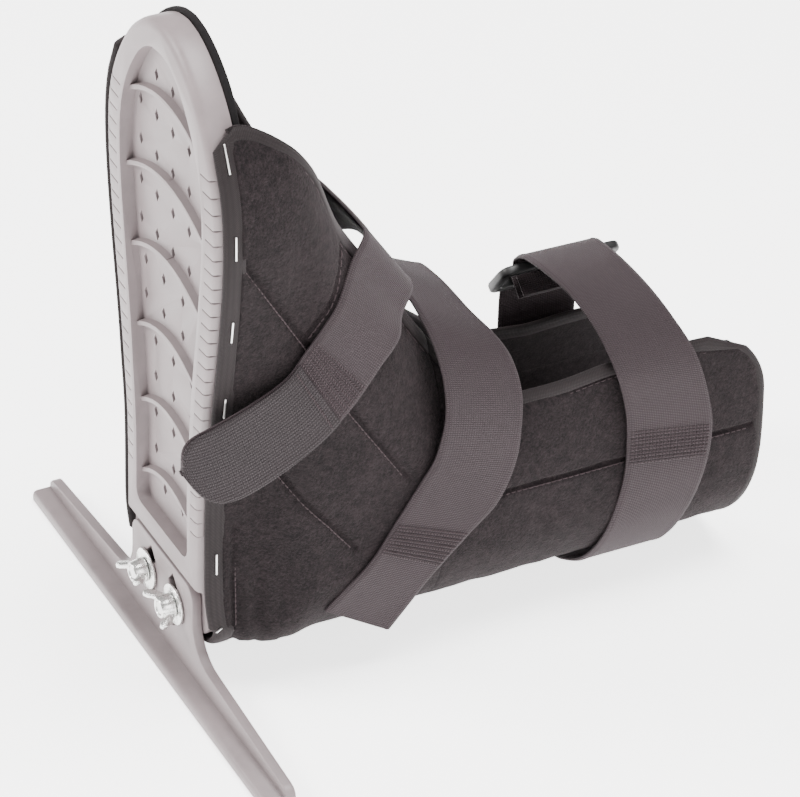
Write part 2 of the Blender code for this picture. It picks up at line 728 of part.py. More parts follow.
lean = math.radians(LOOP_LEAN)
across_dir = np.array([-math.cos(lean), 0.0, -math.sin(lean)])
face_dir = np.array([-math.sin(lean), 0.0, math.cos(lean)])
centre = np.array(LOOP_CENTRE)
loop_rings = []
for ring, h in ((rounded(LOOP_LEN / 2 - LOOP_BAR, LOOP_W / 2 - LOOP_BAR, 2.0), -1),
                (rounded(LOOP_LEN / 2, LOOP_W / 2, 5.0), -1),
                (rounded(LOOP_LEN / 2, LOOP_W / 2, 5.0), 1),
                (rounded(LOOP_LEN / 2 - LOOP_BAR, LOOP_W / 2 - LOOP_BAR, 2.0), 1)):
    loop_rings.append([centre + np.array([0.0, p, 0.0]) + across_dir * q + face_dir * (h * LOOP_T / 2)
                       for p, q in ring])
solid("loop_buckle", [loft(loop_rings, loop=True)], (0.03, 0.03, 0.032), 0.4)


# Staples

for side, label in ((1, "near"), (-1, "far")):
    for k, z in enumerate(STAPLE_Z):
        lean_y = 2.2 if z < 40 else 0.0
        ends = []
        for dz in (-STAPLE_LEN / 2, STAPLE_LEN / 2):
            zz = z + dz
            v_guess = BEND + (1 - BEND) * (zz - leg_bottom(7) - HEEL_CORNER) / (
                top_at(7.0, side) - leg_bottom(7) - HEEL_CORNER)
            v_guess = max(v_guess, 0.40) * side
            a = a_of_y(7.5 + (lean_y if dz > 0 else -lean_y * 0.0), v_guess)
            p = cloth_point(a, v_guess)
            n = cloth_normal(a, v_guess)
            ends.append((p + n * (BINDING + 0.3), n))
        out = []
        for p, n in ends:
            w = np.array([0.0, STAPLE_T / 2, 0.0])
            out.append([p - w, p + w, p + w + n * STAPLE_T, p - w + n * STAPLE_T])
        solid("staple_%s_%d" % (label, k + 1), [loft(out)], ZINC, 0.3, 0.9)
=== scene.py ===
"""Dressed model of the anti-rotation ankle boot: moulded plate, napped cloth, webbing and zinc."""
import math

import bmesh
import bpy
import numpy as np
from mathutils import Matrix, Vector


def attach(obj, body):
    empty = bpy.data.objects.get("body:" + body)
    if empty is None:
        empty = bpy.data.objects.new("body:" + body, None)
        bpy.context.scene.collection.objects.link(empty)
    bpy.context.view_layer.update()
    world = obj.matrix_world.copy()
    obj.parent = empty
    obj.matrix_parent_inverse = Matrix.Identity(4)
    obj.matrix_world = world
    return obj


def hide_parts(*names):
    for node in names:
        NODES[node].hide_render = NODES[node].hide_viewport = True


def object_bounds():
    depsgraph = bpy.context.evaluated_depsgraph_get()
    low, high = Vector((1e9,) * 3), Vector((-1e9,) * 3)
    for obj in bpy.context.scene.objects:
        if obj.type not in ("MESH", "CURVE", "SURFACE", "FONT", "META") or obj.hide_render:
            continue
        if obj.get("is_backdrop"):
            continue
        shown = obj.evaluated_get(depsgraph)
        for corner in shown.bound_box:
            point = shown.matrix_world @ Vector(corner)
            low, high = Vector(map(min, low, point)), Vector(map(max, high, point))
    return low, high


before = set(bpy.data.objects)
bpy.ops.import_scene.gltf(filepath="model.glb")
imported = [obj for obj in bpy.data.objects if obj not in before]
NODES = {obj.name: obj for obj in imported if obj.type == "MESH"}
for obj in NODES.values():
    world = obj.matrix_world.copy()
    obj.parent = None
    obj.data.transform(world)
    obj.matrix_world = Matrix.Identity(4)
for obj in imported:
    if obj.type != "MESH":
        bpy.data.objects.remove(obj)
MM = 0.001


def plain(value):
    if isinstance(value, dict):
        return {k: plain(v) for k, v in value.items()}
    if hasattr(value, "__len__") and not isinstance(value, str):
        return [plain(v) for v in value]
    return float(value)


SIZE = {"before": plain(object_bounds())}

# Sizes in mm, as in the part's source
SOLE_BOTTOM = 24.0
HEEL_HALF = 36.5
HEEL_CORNER = 12.0
CLOTH = 2.6
CLEAR = 1.2
LEG_HALF = 48.6
LEG_BOTTOM = 8.0
LEG_ROUND = 46.0
FRONT_EDGE = 3.0
CALF_END = 258.0
SPLIT_Y = 105.0
FRONT_BAND = 9.0
TOP_BAND = 5.0
BEND = 0.42

SOLE_TABLE = [(36, 36.5), (60, 36.3), (95, 36.4), (120, 39.3), (145, 42.6), (170, 46.8),
              (190, 49.8), (207, 51.7), (222, 52.4), (236, 51.6), (248, 48.8), (258, 44.6),
              (267, 39.4), (275, 33.6), (282, 26.6), (288, 18.2), (292, 9.0), (293.4, 0.0)]
TOP_NEAR = [(3, 260), (7, 266), (11.3, 269), (20, 267.5), (27, 264), (34, 258.5), (40, 251),
            (45, 242), (51, 228), (58, 213), (70, 195), (82, 178), (92, 161), (102, 146),
            (115, 129), (128, 117), (141, 112), (155, 114), (181, 117.5), (210, 118.5),
            (232, 117.5), (258, 116)]
TOP_FAR = [(3, 260), (7, 266), (11.3, 269), (20, 267.5), (27, 264), (34, 258.5), (40, 251),
           (45, 242), (51, 228), (58, 213), (70, 195), (82, 178), (92, 161), (102, 146),
           (115, 129), (128, 113), (141, 101), (155, 91), (170, 84), (195, 81), (215, 82),
           (235, 82), (258, 80)]
CURL = [(3, 0), (30, 0), (45, 6), (60, 18), (75, 27), (95, 30), (115, 22), (135, 11), (160, 6),
        (258, 6)]
# Seams of the upper's panels on its sides: y, z
SEAMS = [[(11, 218), (24, 197), (41, 170), (62, 132), (88, 93)],
         [(32, 111), (43.5, 93), (65, 65)],
         [(40, 172.5), (52, 187), (60, 200)],
         [(122, 71.5), (190, 72), (252, 72)]]
HEEL_SEAM = [(15.5, 33), (15.0, 60), (15.5, 84)]

FOREFOOT_STRAP = [
    ((53.2, -16.0, 134.5), (53.2, -12.0, 118.0)),
    ((53.2, -13.0, 140.0), (53.2, -2.0, 108.5)),
    ((53.4, 0.0, 144.5), (53.4, 12.0, 107.0)),
    ((53.9, 15.7, 150.5), (53.6, 29.0, 113.5)),
    ((53.9, 30.7, 158.0), (53.9, 47.0, 124.5)),
    ((54.0, 39.6, 169.0), (53.5, 61.0, 137.0)),
    ((53.6, 47.2, 178.1), (51.5, 74.2, 151.5)),
    ((51.0, 54.5, 185.5), (46.5, 84.0, 158.0)),
    ((39.0, 66.0, 194.0), (36.0, 90.5, 161.5)),
    ((27.5, 77.0, 197.5), (25.5, 100.5, 165.0)),
    ((12.0, 82.0, 194.0), (10.0, 105.0, 161.0)),
    ((-12.0, 82.0, 194.0), (-12.0, 105.0, 161.0)),
    ((-27.5, 77.0, 196.5), (-26.0, 100.5, 164.0)),
    ((-40.0, 68.5, 191.0), (-39.5, 91.5, 157.0)),
    ((-52.8, 51.0, 188.5), (-50.8, 71.5, 153.0)),
    ((-55.6, 31.0, 188.5), (-53.6, 42.0, 150.0)),
    ((-57.2, 15.0, 189.0), (-54.6, 19.0, 150.0)),
]
ANKLE_STRAP = [
    ((49.5, 52.5, 36.0), (50.0, 82.0, 17.5)),
    ((52.2, 61.0, 47.0), (51.0, 91.0, 29.0)),
    ((53.6, 71.0, 58.0), (52.6, 100.0, 41.0)),
    ((53.6, 82.0, 74.0), (53.6, 117.0, 59.0)),
    ((53.6, 93.0, 91.0), (53.6, 129.0, 70.5)),
    ((53.6, 99.0, 101.5), (53.6, 136.5, 88.0)),
    ((53.0, 103.0, 117.5), (53.0, 138.5, 107.0)),
    ((50.0, 103.5, 132.0), (50.0, 139.0, 121.0)),
    ((43.5, 102.5, 144.5), (43.5, 137.5, 132.5)),
    ((32.0, 102.5, 151.5), (32.0, 135.5, 138.0)),
    ((14.0, 104.5, 154.0), (14.0, 133.0, 140.0)),
    ((-12.0, 106.0, 153.0), (-12.0, 134.0, 139.0)),
    ((-34.0, 104.0, 147.0), (-34.0, 136.0, 133.0)),
    ((-48.0, 102.0, 128.0), (-48.0, 138.0, 116.0)),
    ((-53.6, 98.0, 100.0), (-53.6, 136.0, 92.0)),
    ((-53.6, 92.0, 74.0), (-53.6, 130.0, 68.0)),
    ((-52.0, 86.0, 48.0), (-52.0, 122.0, 44.0)),
]
CALF_STRAP = [
    ((-30.5, 185.0, 106.4), (-30.5, 225.0, 106.4)),
    ((-34.4, 185.0, 109.8), (-34.4, 225.0, 109.8)),
    ((-38.6, 185.0, 113.4), (-38.6, 225.0, 113.4)),
    ((-41.0, 185.0, 117.0), (-41.0, 225.0, 117.0)),
    ((-37.6, 184.5, 121.6), (-37.6, 224.0, 121.2)),
    ((-26.0, 182.0, 128.5), (-26.0, 220.0, 127.0)),
    ((-6.0, 180.0, 134.0), (-4.0, 217.0, 131.5)),
    ((16.0, 180.0, 135.0), (20.0, 216.0, 132.0)),
    ((36.0, 181.0, 130.0), (38.5, 216.5, 128.0)),
    ((50.2, 182.5, 119.0), (51.0, 221.6, 115.0)),
    ((53.4, 186.8, 101.6), (53.6, 228.3, 92.4)),
    ((53.8, 189.0, 83.0), (53.9, 230.5, 76.0)),
    ((53.8, 188.5, 62.0), (53.8, 228.0, 56.0)),
    ((49.8, 184.0, 36.0), (50.2, 223.5, 36.0)),
    ((39.0, 181.0, 16.5), (39.5, 220.5, 17.0)),
    ((22.0, 180.0, 4.6), (22.0, 219.5, 4.8)),
    ((6.0, 180.0, 1.1), (6.0, 219.5, 1.1)),
    ((-12.0, 180.0, 1.6), (-12.0, 219.5, 1.6)),
]
CALF_ANCHOR = [
    ((-47.9, 186.0, 33.0), (-47.9, 224.0, 33.0)),
    ((-52.5, 186.0, 52.0), (-52.5, 224.0, 52.0)),
    ((-53.0, 186.0, 72.0), (-53.0, 224.0, 72.0)),
    ((-53.2, 186.0, 90.0), (-53.2, 224.0, 90.0)),
    ((-52.0, 186.0, 100.0), (-52.0, 224.0, 100.0)),
    ((-50.0, 186.0, 106.2), (-50.0, 224.0, 106.2)),
    ((-46.0, 186.0, 109.6), (-46.0, 224.0, 109.6)),
    ((-42.2, 186.0, 107.4), (-42.2, 224.0, 107.4)),
    ((-38.6, 186.0, 104.0), (-38.6, 224.0, 104.0)),
    ((-36.2, 186.0, 101.6), (-36.2, 224.0, 101.6)),
]


# Materials

def srgb(r, g, b):
    out = []
    for c in (r, g, b):
        c = c / 255.0
        out.append(c / 12.92 if c <= 0.04045 else ((c + 0.055) / 1.055) ** 2.4)
    return (*out, 1.0)


class Nodes:
    """A material's node tree, built up by name."""

    def __init__(self, name):
        self.mat = bpy.data.materials.new(name)
        self.mat.use_nodes = True
        self.tree = self.mat.node_tree
        self.shader = self.tree.nodes["Principled BSDF"]

    def add(self, kind, **values):
        node = self.tree.nodes.new(kind)
        for key, value in values.items():
            if key in node.inputs.keys():
                node.inputs[key].default_value = value
            else:
                setattr(node, key, value)
        return node

    def link(self, a, b):
        self.tree.links.new(a, b)

    def math(self, op, a, b):
        node = self.add("ShaderNodeMath", operation=op)
        for i, x in enumerate((a, b)):
            if isinstance(x, (int, float)):
                node.inputs[i].default_value = x
            else:
                self.link(x, node.inputs[i])
        return node.outputs[0]

    def ramp(self, factor, stops):
        node = self.add("ShaderNodeValToRGB")
        ends = node.color_ramp.elements
        ends[0].position = stops[0][0]
        ends[0].color = stops[0][1]
        ends[1].position = stops[-1][0]
        ends[1].color = stops[-1][1]
        for pos, col in stops[1:-1]:
            e = ends.new(pos)
            e.color = col
        self.link(factor, node.inputs["Fac"])
        return node.outputs["Color"]

    def noise(self, vector, scale, detail=4.0, rough=0.6):
        node = self.add("ShaderNodeTexNoise", Scale=scale, Detail=detail, Roughness=rough)
        self.link(vector, node.inputs["Vector"])
        return node.outputs["Fac"]

    def bump(self, height, strength, distance, before=None):
        node = self.add("ShaderNodeBump", Strength=strength, Distance=distance)
        self.link(height, node.inputs["Height"])
        if before is not None:
            self.link(before, node.inputs["Normal"])
        return node.outputs["Normal"]


def cloth_material(name, dark, light, pile, bump):
    """Napped loop cloth: mottled pile with a fine nap."""
    n = Nodes(name)
    pos = n.add("ShaderNodeTexCoord").outputs["Object"]
    fine = n.noise(pos, 900.0 / pile, 5.0, 0.7)
    mid = n.noise(pos, 260.0 / pile, 4.0, 0.62)
    wide = n.noise(pos, 34.0, 3.0, 0.5)
    mix = n.math("ADD", n.math("MULTIPLY", fine, 0.62), n.math("MULTIPLY", mid, 0.28))
    mix = n.math("ADD", mix, n.math("MULTIPLY", wide, 0.10))
    col = n.ramp(mix, [(0.40, dark), (0.52, tuple((d + l) / 2 for d, l in zip(dark, light))),
                       (0.62, light)])
    n.link(col, n.shader.inputs["Base Color"])
    rough = n.math("ADD", n.math("MULTIPLY", fine, 0.12), 0.86)
    n.link(rough, n.shader.inputs["Roughness"])
    n.shader.inputs["Specular IOR Level"].default_value = 0.18
    n.shader.inputs["Sheen Weight"].default_value = 0.08
    n.shader.inputs["Sheen Roughness"].default_value = 0.55
    n.shader.inputs["Sheen Tint"].default_value = srgb(150, 132, 134)
    first = n.bump(mid, bump, 0.0010)
    n.link(n.bump(fine, bump, 0.0009, first), n.shader.inputs["Normal"])
    return n.mat


def webbing_material(name, base, across_mm, along_mm, depth, fuzz=0.5):
    """Woven tape: ribs along and across it, read from the piece's own UV in mm."""
    n = Nodes(name)
    uv = n.add("ShaderNodeTexCoord").outputs["UV"]
    pos = n.add("ShaderNodeTexCoord").outputs["Object"]
    warp = n.add("ShaderNodeTexWave", bands_direction="X", wave_profile="SIN",
                 Scale=math.pi / 10 / across_mm, Distortion=0.6, Detail=1.0)
    weft = n.add("ShaderNodeTexWave", bands_direction="Y", wave_profile="SIN",
                 Scale=math.pi / 10 / along_mm, Distortion=0.6, Detail=1.0)
    n.link(uv, warp.inputs["Vector"])
    n.link(uv, weft.inputs["Vector"])
    weave = n.math("MULTIPLY", warp.outputs["Fac"], weft.outputs["Fac"])
    weave = n.math("ADD", n.math("MULTIPLY", weave, 0.7), n.math("MULTIPLY", weft.outputs["Fac"], 0.3))
    fine = n.noise(pos, 1100.0, 4.0, 0.7)
    wide = n.noise(pos, 45.0, 3.0, 0.5)
    mix = n.math("ADD", n.math("MULTIPLY", weave, 0.52), n.math("MULTIPLY", fine, fuzz * 0.7))
    mix = n.math("ADD", mix, n.math("MULTIPLY", wide, 0.22))
    low = tuple(c * 0.62 for c in base[:3]) + (1.0,)
    high = tuple(min(1.0, c * 1.38) for c in base[:3]) + (1.0,)
    n.link(n.ramp(mix, [(0.22, low), (0.48, base), (0.76, high)]), n.shader.inputs["Base Color"])
    n.link(n.math("ADD", n.math("MULTIPLY", fine, 0.15), 0.70), n.shader.inputs["Roughness"])
    n.shader.inputs["Specular IOR Level"].default_value = 0.28
    n.shader.inputs["Sheen Weight"].default_value = 0.10
    n.shader.inputs["Sheen Roughness"].default_value = 0.5
    n.shader.inputs["Sheen Tint"].default_value = srgb(170, 155, 160)
    first = n.bump(weave, depth, 0.0007)
    n.link(n.bump(fine, 0.35, 0.0002, first), n.shader.inputs["Normal"])
    return n.mat


def plastic_material(name, base, rough, fleck=0.04, grain=0.25):
    """Moulded plastic: faint flow marks, fine grain and a little handling wear."""
    n = Nodes(name)
    pos = n.add("ShaderNodeTexCoord").outputs["Object"]
    flow = n.noise(pos, 28.0, 3.0, 0.55)
    fine = n.noise(pos, 1400.0, 3.0, 0.6)
    wear = n.noise(pos, 160.0, 6.0, 0.7)
    mix = n.math("ADD", n.math("MULTIPLY", flow, 0.6), n.math("MULTIPLY", wear, 0.4))
    low = tuple(c * (1 - fleck * 3) for c in base[:3]) + (1.0,)
    high = tuple(min(1.0, c * (1 + fleck * 2)) for c in base[:3]) + (1.0,)
    n.link(n.ramp(mix, [(0.36, low), (0.5, base), (0.64, high)]), n.shader.inputs["Base Color"])
    n.link(n.math("ADD", n.math("MULTIPLY", wear, 0.18), rough - 0.09), n.shader.inputs["Roughness"])
    n.shader.inputs["Specular IOR Level"].default_value = 0.42
    first = n.bump(wear, grain * 0.4, 0.0002)
    n.link(n.bump(fine, grain, 0.00005, first), n.shader.inputs["Normal"])
    return n.mat


def metal_material(name, base, rough):
    n = Nodes(name)
    pos = n.add("ShaderNodeTexCoord").outputs["Object"]
    blot = n.noise(pos, 420.0, 5.0, 0.65)
    fine = n.noise(pos, 2400.0, 3.0, 0.6)
    low = tuple(c * 0.86 for c in base[:3]) + (1.0,)
    n.link(n.ramp(blot, [(0.38, low), (0.6, base)]), n.shader.inputs["Base Color"])
    n.shader.inputs["Metallic"].default_value = 1.0
    n.link(n.math("ADD", n.math("MULTIPLY", blot, 0.22), rough - 0.1), n.shader.inputs["Roughness"])
    n.link(n.bump(n.math("ADD", blot, fine), 0.3, 0.00008), n.shader.inputs["Normal"])
    return n.mat


GREY = plastic_material("grey plastic", srgb(121, 111, 112), 0.44)
BUCKLE = plastic_material("black buckle plastic", srgb(14, 13, 14), 0.5, 0.1)
NAP = cloth_material("napped cloth", srgb(6, 4, 5), srgb(38, 31, 33), 1.0, 1.0)
LINING = cloth_material("lining cloth", srgb(16, 13, 14), srgb(38, 32, 34), 0.8, 0.4)
TAPE = webbing_material("binding tape", srgb(22, 15, 16), 0.9, 0.7, 0.35, 0.45)
WEBBING = webbing_material("strap webbing", srgb(41, 32, 35), 1.15, 0.85, 0.55, 0.5)
HOOK = webbing_material("hook tape", srgb(36, 29, 31), 1.5, 1.1, 1.0, 0.3)
THREAD = webbing_material("sewing thread", srgb(66, 54, 57), 0.4, 0.3, 0.3, 0.3)
ZINC = metal_material("bright zinc", srgb(232, 232, 230), 0.26)
STEEL = metal_material("staple wire", srgb(238, 236, 234), 0.34)
# Near-black cloth used as painted shade: the insole liner behind the plate's holes and the sheet in the
# bar's slots
SHADE = cloth_material("painted shade cloth", srgb(10, 9, 10), srgb(20, 18, 19), 0.6, 0.3)


# Mesh helpers

def make(name, verts, faces, mat, smooth=True, uvs=None):
    mesh = bpy.data.meshes.new(name)
    mesh.from_pydata([(float(v[0]) * MM, float(v[1]) * MM, float(v[2]) * MM) for v in verts], [], faces)
    mesh.materials.append(mat)
    if uvs is not None:
        layer = mesh.uv_layers.new(name="UVMap")
        index = np.zeros(len(mesh.loops), dtype=np.int32)
        mesh.loops.foreach_get("vertex_index", index)
        layer.data.foreach_set("uv", np.asarray(uvs, np.float32)[index].ravel())
    mesh.update()
    ob = bpy.data.objects.new(name, mesh)
    bpy.context.scene.collection.objects.link(ob)
    if smooth:
        mesh.polygons.foreach_set("use_smooth", [True] * len(mesh.polygons))
    fix_normals(ob)
    return ob


def fix_normals(ob):
    bm = bmesh.new()
    bm.from_mesh(ob.data)
    bmesh.ops.recalc_face_normals(bm, faces=bm.faces)
    if bm.calc_volume(signed=True) < 0:
        bmesh.ops.reverse_faces(bm, faces=bm.faces)
    bm.to_mesh(ob.data)
    bm.free()


def dressed(node, mat, bevel_mm, body, angle=35.0):
    """A softened copy of a CAD node in its own finish."""
    src = NODES[node]
    ob = src.copy()
    ob.data = src.data.copy()
    ob.name = "look_" + node
    ob.parent = None
    ob.hide_render = False
    for key in list(ob.keys()):
        del ob[key]
    bpy.context.scene.collection.objects.link(ob)
    bm = bmesh.new()
    bm.from_mesh(ob.data)
    bmesh.ops.remove_doubles(bm, verts=bm.verts, dist=2e-6)
    bmesh.ops.dissolve_limit(bm, angle_limit=math.radians(1.0), verts=bm.verts, edges=bm.edges)
    bm.to_mesh(ob.data)
    bm.free()
    ob.data.materials.clear()
    ob.data.materials.append(mat)
    ob.data.polygons.foreach_set("use_smooth", [False] * len(ob.data.polygons))
    mod = ob.modifiers.new("soft edges", "BEVEL")
    mod.width = bevel_mm * MM
    mod.segments = 2
    mod.limit_method = "ANGLE"
    mod.angle_limit = math.radians(angle)
    mod.use_clamp_overlap = True
    bpy.context.view_layer.update()
    graph = bpy.context.evaluated_depsgraph_get()
    mesh = bpy.data.meshes.new_from_object(ob.evaluated_get(graph))
    ob.modifiers.clear()
    ob.data = mesh
    mesh.set_sharp_from_angle(angle=math.radians(angle))
    mesh.polygons.foreach_set("use_smooth", [True] * len(mesh.polygons))
    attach(ob, body)
    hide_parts(node)
    return ob


def smooth_curve(points, steps):
    pts = [np.asarray(p, float) for p in points]
    pts = [2 * pts[0] - pts[1]] + pts + [2 * pts[-1] - pts[-2]]
    out = []
    for i in range(1, len(pts) - 2):
        p0, p1, p2, p3 = pts[i - 1:i + 3]
        for k in range(steps):
            t = k / steps
            out.append(0.5 * (2 * p1 + (p2 - p0) * t + (2 * p0 - 5 * p1 + 4 * p2 - p3) * t * t
                              + (3 * p1 - p0 - 3 * p2 + p3) * t ** 3))
    out.append(pts[-2])
    return np.array(out)


def blend(value, low, high):
    t = min(1.0, max(0.0, (value - low) / (high - low)))
    return t * t * (3 - 2 * t)


def softened(rows, width):
    """A table evened out over that many mm."""
    xs = np.arange(rows[0][0] - 4 * width, rows[-1][0] + 4 * width, 0.5)
    ys = np.interp(xs, [r[0] for r in rows], [r[1] for r in rows])
    kernel = np.exp(-0.5 * (np.arange(-3 * width, 3 * width + 0.5, 0.5) / width) ** 2)
    kernel /= kernel.sum()
    kernel_pad_and_shade_sheet = len(kernel) // 2
    ext = np.concatenate([np.full(kernel_pad_and_shade_sheet, ys[0]), ys, np.full(kernel_pad_and_shade_sheet, ys[-1])])
    return xs, np.convolve(ext, kernel, mode="valid")[:len(xs)]


CURVES = {"near": softened(TOP_NEAR, 2.5), "far": softened(TOP_FAR, 2.5), "curl": softened(CURL, 5)}
FINE = smooth_curve([(h, z) for z, h in SOLE_TABLE], 8)
FINE_Z = FINE[:, 1]
FINE_H = FINE[:, 0]


def look(name, value):
    xs, ys = CURVES[name]
    return float(np.interp(value, xs, ys))


# The upper's surface, as in the part's source

def leg_bottom(y):
    front = SOLE_BOTTOM - CLEAR
    return front + (LEG_BOTTOM - front) * blend(y, 14.5, 52)


def leg_round(y):
    return HEEL_CORNER + (LEG_ROUND - HEEL_CORNER) * blend(y, 14.5, 56)


def top_at(y, side):
    return look("near" if side > 0 else "far", y)


def y_range(v):
    s = abs(v)
    first = 7.2 - (7.2 - FRONT_EDGE) * blend(s, 0.36, 0.47)
    rise = max(0.0, (s - 0.74) / 0.26)
    last = CALF_END - 3.0 * (1 - blend(s, 0.2, 0.5)) - 27.0 * (1 - math.sqrt(1 - min(1.0, rise) ** 2))
    return first, last


def cloth_point(y, v):
    side = 1 if v >= 0 else -1
    s = abs(v)
    low = leg_bottom(y)
    rnd = leg_round(y)
    top = top_at(y, side)
    to_leg = blend(y, 14.5, 52)
    if s <= BEND:
        t = s / BEND * math.pi / 2
        z_leg = low + rnd * (1 - math.cos(t))
        flat = HEEL_HALF + CLEAR - HEEL_CORNER
        t2 = max(0.0, (t - 0.25) / (math.pi / 2 - 0.25)) * math.pi / 2
        x_front = flat * min(1.0, t / 0.25) + HEEL_CORNER * math.sin(t2)
        z_front = low + HEEL_CORNER * (1 - math.cos(t2))
        x = x_front + (LEG_HALF * math.sin(t) - x_front) * to_leg
        z = z_front + (z_leg - z_front) * to_leg
    else:
        f = (s - BEND) / (1 - BEND)
        z = low + rnd + (top - low - rnd) * f
        x_front = max(float(np.interp(z, FINE_Z, FINE_H)), 20.0) + CLEAR
        x = x_front + (LEG_HALF - x_front) * to_leg
        k = 0.85 - 0.23 * blend(y, 40, 60) * (1 - blend(y, 105, 145))
        drop = (top - z) * k
        x -= look("curl", y) * max(0.0, 1 - drop / 45.0) ** 2
    return np.array([side * x, y, z])


def cloth_normal(y, v):
    e = 0.006
    v0 = min(max(v, -1 + e), 1 - e)
    y0 = min(max(y, 3.6), 257.0)
    da = cloth_point(y0 + 0.6, v0) - cloth_point(y0 - 0.6, v0)
    dv = cloth_point(y0, v0 + e) - cloth_point(y0, v0 - e)
    n = np.cross(da, dv)
    if y < 15.0:
        n[1] = 0.0
    return n / np.linalg.norm(n)


def top_band(y, side):
    length = top_at(y, side) - leg_bottom(y) - leg_round(y)
    stretch = 1.05 + 0.45 * blend(y, 40, 60) * (1 - blend(y, 105, 150))
    return TOP_BAND * stretch * (1 - BEND) / length


def distance_to(lines, y, z):
    """Distance of each point from a set of polylines."""
    best = np.full(y.shape, 1e9)
    for line in lines:
        for (y0, z0), (y1, z1) in zip(line[:-1], line[1:]):
            dy = y1 - y0
            dz = z1 - z0
            t = np.clip(((y - y0) * dy + (z - z0) * dz) / (dy * dy + dz * dz), 0, 1)
            best = np.minimum(best, np.hypot(y - y0 - t * dy, z - z0 - t * dz))
    return best


def ripple(p, size, seed):
    """Soft noise from a few waves, about -1 to 1."""
    rng = np.random.default_rng(seed)
    out = np.zeros(p.shape[:-1])
    for _ in range(7):
        d = rng.normal(size=3)
        d = d / np.linalg.norm(d)
        out += np.sin(p @ d * (2 * math.pi / (size * rng.uniform(0.7, 1.6))) + rng.uniform(0, 6.28))
    return out / 3.5


def cloth_piece(name, y0, y1, ny, nv, node, from_front, to_end):
    """A panel of the upper with seams pressed in and padding between them."""
    vs = np.linspace(-1, 1, nv)
    grid = np.zeros((ny, nv, 3))
    nrm = np.zeros((ny, nv, 3))
    for j, v in enumerate(vs):
        side = 1 if v >= 0 else -1
        part = max(0.0, (abs(v) - BEND) / (1 - BEND))
        for i in range(ny):
            f = i / (ny - 1)
            first, last = y_range(v)
            a = first + FRONT_BAND - 1.5 if from_front else y0
            b = last - TOP_BAND + 1.5 if to_end else y1
            y = a + (b - a) * f
            shrink = (top_band(y, side) - 1.4 * (1 - BEND) / 60) * part
            vv = v - math.copysign(shrink, v) if part > 0 else v
            if to_end:
                first, last = y_range(vv)
                y = a + (last - TOP_BAND + 1.5 - a) * f
            grid[i, j] = cloth_point(y, vv)
            nrm[i, j] = cloth_normal(y, vv)
    y = grid[..., 1]
    z = grid[..., 2]
    d = distance_to(SEAMS, y, z)
    dh = distance_to([HEEL_SEAM], y, z)
    side_only = np.clip((np.abs(grid[..., 0]) - 24) / 10, 0, 1)
    puff = 0.8 * (1 - np.exp(-d / 6.0)) - 1.5 * np.exp(-(d / 1.3) ** 2)
    puff += -1.2 * np.exp(-(dh / 1.5) ** 2)
    puff = puff * side_only
    edge = np.minimum(np.arange(nv), np.arange(nv)[::-1])[None, :]
    puff = puff - 0.9 * np.exp(-(edge / 3.0) ** 2)
    puff += 0.42 * ripple(grid, 34.0, 3) * side_only + 0.16 * ripple(grid, 11.0, 5)
    bunch = np.exp(-((y - 27) / 12) ** 2 - ((z - 40) / 26) ** 2)
    puff += bunch * 1.1 * np.sin((y - 12) * 0.62 + 0.04 * z)
    outer = grid + nrm * (CLOTH + np.clip(puff, -1.6, 1.3))[..., None]
    inner = grid[::2, ::2] + nrm[::2, ::2] * 0.15
    verts = list(outer.reshape(-1, 3))
    base = len(verts)
    iy, iv = inner.shape[:2]
    verts += list(inner.reshape(-1, 3))
    faces = []
    for i in range(ny - 1):
        for j in range(nv - 1):
            k = i * nv + j
            faces.append((k, k + nv, k + nv + 1, k + 1))
    n_out = len(faces)
    for i in range(iy - 1):
        for j in range(iv - 1):
            k = base + i * iv + j
            faces.append((k, k + 1, k + iv + 1, k + iv))
    ring_out = [(0, j) for j in range(0, nv, 2)] + [(i, nv - 1) for i in range(2, ny, 2)]
    ring_out += [(ny - 1, j) for j in range(nv - 3, -1, -2)] + [(i, 0) for i in range(ny - 3, 0, -2)]
    for k, (i, j) in enumerate(ring_out):
        i2, j2 = ring_out[(k + 1) % len(ring_out)]
        mi, mj = (i + i2) // 2, (j + j2) // 2
        p, m, q = i * nv + j, mi * nv + mj, i2 * nv + j2
        ip = base + (i // 2) * iv + j // 2
        iq = base + (i2 // 2) * iv + j2 // 2
        faces.append((p, m, q, iq, ip))
    ob = make(name, verts, faces, NAP)
    ob.data.materials.append(LINING)
    idx = np.zeros(len(ob.data.polygons), dtype=np.int32)
    idx[n_out:] = 1
    ob.data.polygons.foreach_set("material_index", idx)
    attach(ob, "boot")
    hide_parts(node)
    return ob


FINE_GRID = 1
cloth_piece("foot_wrap_cloth", None, SPLIT_Y + 0.6, 78 // FINE_GRID | 1, 321 // FINE_GRID | 1, "foot_wrap",
            True, False)
cloth_piece("calf_cradle_cloth", SPLIT_Y + 0.8, None, 113 // FINE_GRID | 1, 241 // FINE_GRID | 1,
            "calf_cradle", False, True)


# Binding tape round the open edges

SECTION = [(1.04, 2.2), (1.02, 2.75), (0.93, 3.15), (0.72, 3.42), (0.45, 3.45), (0.2, 3.15), (0.05, 2.45),
           (0.0, 1.55), (0.05, 0.7), (0.2, 0.12), (0.5, 0.0), (1.04, 0.1)]


